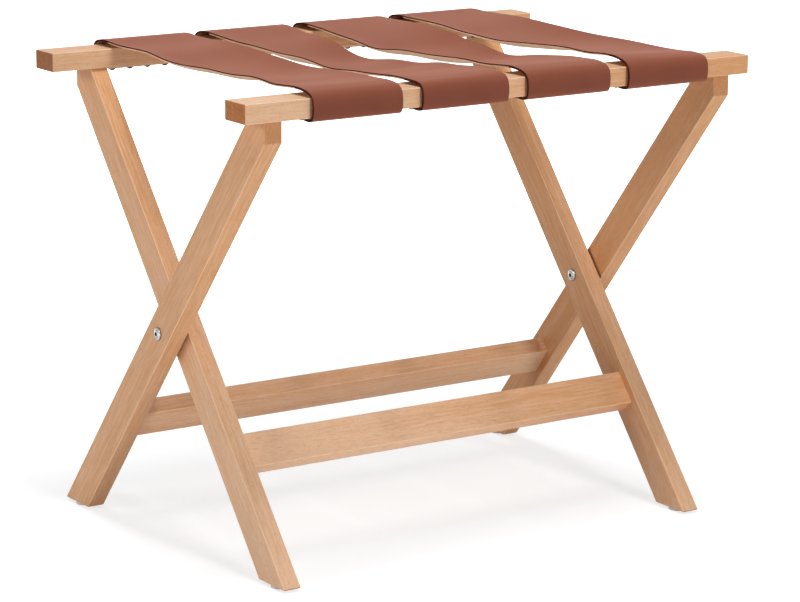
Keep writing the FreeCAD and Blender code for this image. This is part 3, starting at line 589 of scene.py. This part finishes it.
def leather(name, pale, deep, cell, relief, **sockets):
    """Leather from two colours, mottled softly, with a fine grain of pits and creases, and painted shade
    darkening the creases.

    There are cell pits to the metre, and relief is the strength of their bump.
    """
    material, tree, shader = new_material(name, **sockets)
    place = add_node(tree, "UVMap", uv_map="strap_map").outputs[0]
    mottle = add_node(tree, "TexNoise", {"Vector": place, "Scale": 16.0, "Detail": 5.0, "Roughness": 0.62})
    colour = mix(tree, ramp(tree, mottle.outputs["Fac"], [(0.30, 0.0), (0.72, 1.0)]), pale, deep)
    pits = add_node(tree, "TexVoronoi", {"Vector": place, "Scale": cell}, feature="DISTANCE_TO_EDGE")
    fine = add_node(tree, "TexNoise", {"Vector": place, "Scale": cell * 1.7, "Detail": 3.0})
    valley = ramp(tree, pits.outputs["Distance"], [(0.0, 0.0), (0.22, 1.0)])
    # painted shade: the grain's creases are mixed towards the deep colour
    crease_shade = arithmetic(tree, "MULTIPLY", arithmetic(tree, "SUBTRACT", 1.0, valley), 0.16)
    tree.links.new(mix(tree, crease_shade, colour, deep), shader.inputs["Base Color"])
    height = arithmetic(tree, "ADD", arithmetic(tree, "MULTIPLY", valley, 0.5),
                        arithmetic(tree, "MULTIPLY", fine.outputs["Fac"], 0.7))
    bump = add_node(tree, "Bump", {"Height": height, "Strength": relief, "Distance": 0.0002})
    tree.links.new(bump.outputs[0], shader.inputs["Normal"])
    return material


leathers = [
    leather("leather_grain", (0.133, 0.039, 0.030, 1), (0.104, 0.030, 0.022, 1), 1000.0, 0.12,
            Roughness=0.46, Specular_IOR_Level=0.13, Specular_Tint=(1.0, 0.5, 0.35, 1),
            Sheen_Weight=0.46, Sheen_Roughness=0.80, Sheen_Tint=(1.0, 0.33, 0.155, 1)),
    leather("leather_flesh", (0.700, 0.465, 0.300, 1), (0.560, 0.350, 0.210, 1), 1500.0, 0.30,
            Roughness=0.90, Specular_IOR_Level=0.15, Sheen_Weight=0.15, Sheen_Roughness=0.6),
    # the stain on the edges, which round the rails also covers the raw part as painted shade
    leather("leather_stain_and_shade_edge", (0.105, 0.030, 0.018, 1), (0.065, 0.018, 0.011, 1), 1500.0, 0.12,
            Roughness=0.90, Specular_IOR_Level=0.0),
    leather("leather_raw_edge", (0.860, 0.580, 0.390, 1), (0.720, 0.450, 0.290, 1), 2500.0, 0.25,
            Roughness=0.90, Specular_IOR_Level=0.0),
]

rail_low, rail_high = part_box("outer_rail")
wrap = np.array(WRAP, float)
near = np.stack([rail_low.y * 1000 - wrap[:, 0], wrap[:, 1]], 1)
reach = -near[-1, 0]
stations = np.linspace(-reach, reach, int(round(2 * reach / SPAN_STEP)) + 1)[1:-1]
span = np.stack([stations, 0 * stations + LEVEL], 1)
path = spline(np.vstack([near, span, (near * (-1, 1))[::-1]]), PIECES) / 1000
for number, (shifts, (left_waves, right_waves)) in enumerate(zip(SHIFTS, WAVES), start=1):
    node = "strap_%d" % number
    low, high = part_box(node)
    outer = strap_surface(path, rail_high.z, low.x, high.x, shifts, left_waves, right_waves)
    piece, length = strap_mesh("leather_strap_%d" % number, outer, leathers)
    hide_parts(node)
    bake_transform(piece)

# ------------------------------------------------------------------------ tacks
# Five upholstery tacks hold each end of a strap under its rail: pressed steel domes, bronzed
# nearly black, on square-cut shanks driven up into the beech.

BRONZE = (0.018, 0.015, 0.014, 1)
bronzed_steel = metal("bronzed_steel", BRONZE, 0.42, 1500.0, metallic=0.7, specular=0.15)
for prefix in ("outer", "inner"):
    dress(prefix + "_rail_tacks", bronzed_steel)

# ------------------------------------------------------------------------ studio
# A white floor that keeps the bench's soft shadow, an even white room, and three soft boxes:
# one high up and a little in front, a tall narrow one in front, and a weaker one to the left.

ROOM = 0.16  # the room's light on the bench; where it is seen or reflected it is plain white
FLOOR_HALF = 9.0
FLOOR_WHITE = 0.96  # what the floor throws back on the bench
FLOOR_SEEN = (0.430, 0.450, 0.468, 1)  # how strongly its own shade shows, cooler than the wood's glow
FLOOR_GLOW = 0.725  # added where it is seen, so that only shadows are left
FLOOR_FADE = (0.6, 1.5)  # distances from the middle between which it brightens to plain white
LAMPS = [  # name, place, target, width, height, power
    ("overhead", (0.0, -0.45, 4.0), (0.0, 0.0, 0.4), 1.1, 1.1, 91.0),
    ("front", (0.1, -4.0, 1.5), (0.0, 0.0, 0.30), 0.7, 2.4, 61.0),
    ("left", (-3.4, 0.3, 1.3), (-0.1, 0.05, 0.25), 1.3, 0.7, 31.0),
]


def seen_directly(tree):
    """1 for rays from the camera, from glossy reflection and through clear material, else 0."""
    light_path = add_node(tree, "LightPath")
    reflected = arithmetic(tree, "MAXIMUM", light_path.outputs["Is Glossy Ray"],
                           light_path.outputs["Is Transmission Ray"])
    return arithmetic(tree, "MAXIMUM", light_path.outputs["Is Camera Ray"], reflected)


def white_floor():
    """Matt white, with a white glow added where it is seen."""
    material = bpy.data.materials.new("white_floor")
    material.use_nodes = True
    tree = material.node_tree
    tree.nodes.clear()
    place = add_node(tree, "TexCoord").outputs["Object"]
    away = add_node(tree, "VectorMath", {0: place}, operation="LENGTH").outputs["Value"]
    start, end = FLOOR_FADE
    far = ramp(tree, arithmetic(tree, "DIVIDE", away, 2.0), [(start / 2, 0.0), (end / 2, 1.0)])
    seen = seen_directly(tree)
    glow = arithmetic(tree, "MULTIPLY", seen, arithmetic(tree, "ADD", FLOOR_GLOW, far))
    shade = ramp(tree, seen, [(0.0, FLOOR_WHITE), (1.0, FLOOR_SEEN)])
    matt = add_node(tree, "BsdfDiffuse", {"Color": shade})
    white = add_node(tree, "Emission", {"Color": (1, 1, 1, 1), "Strength": glow})
    both = add_node(tree, "AddShader", {0: matt.outputs[0], 1: white.outputs[0]})
    add_node(tree, "OutputMaterial", {0: both.outputs[0]})
    return material


def white_room():
    """A world that is white where it is seen and gives the bench only a share of that."""
    world = bpy.data.worlds.new("room")
    world.use_nodes = True
    tree = world.node_tree
    tree.nodes.clear()
    strength = arithmetic(tree, "ADD", arithmetic(tree, "MULTIPLY", seen_directly(tree), 1 - ROOM), ROOM)
    background = add_node(tree, "Background", {"Color": (1, 1, 1, 1), "Strength": strength})
    add_node(tree, "OutputWorld", {0: background.outputs[0]})
    return world


floor_mesh = bpy.data.meshes.new("floor")
floor_corners = [(-FLOOR_HALF, -FLOOR_HALF, 0), (FLOOR_HALF, -FLOOR_HALF, 0),
                 (FLOOR_HALF, FLOOR_HALF, 0), (-FLOOR_HALF, FLOOR_HALF, 0)]
floor_mesh.from_pydata(floor_corners, [], [(0, 1, 2, 3)])
floor_mesh.materials.append(white_floor())
floor = bpy.data.objects.new("floor", floor_mesh)
bpy.context.scene.collection.objects.link(floor)
bpy.context.scene.world = white_room()

for name, place, target, width, height, power in LAMPS:
    lamp = bpy.data.lights.new(name, "AREA")
    lamp.shape = "RECTANGLE"
    lamp.size = width
    lamp.size_y = height
    lamp.energy = power
    holder = bpy.data.objects.new(name, lamp)
    holder.location = place
    holder.rotation_euler = (Vector(target) - Vector(place)).to_track_quat("-Z", "Y").to_euler()
    bpy.context.scene.collection.objects.link(holder)

# The camera stands 3.35 m off, to the left of the bench's front, about 1 m above the floor.
CAMERA_PLACE = (-1.85902, -2.78498, 0.98748)
CAMERA_YAW = math.radians(-33.90)
CAMERA_PITCH = math.radians(-12.79)
CAMERA_ROLL = math.radians(0.32)
SENSOR_WIDTH = 36.0  # in millimetres, as the focal length is
FOCAL_LENGTH = 143.76
lens = bpy.data.cameras.new("camera")
lens.sensor_width = SENSOR_WIDTH
lens.lens = FOCAL_LENGTH
lens.clip_end = 60.0
camera = bpy.data.objects.new("camera", lens)
camera.matrix_world = (Matrix.Translation(CAMERA_PLACE) @ Matrix.Rotation(CAMERA_YAW, 4, "Z")
                       @ Matrix.Rotation(math.pi / 2 + CAMERA_PITCH, 4, "X")
                       @ Matrix.Rotation(CAMERA_ROLL, 4, "Z"))
bpy.context.scene.collection.objects.link(camera)
bpy.context.scene.camera = camera
bpy.context.scene.view_settings.view_transform = "Standard"
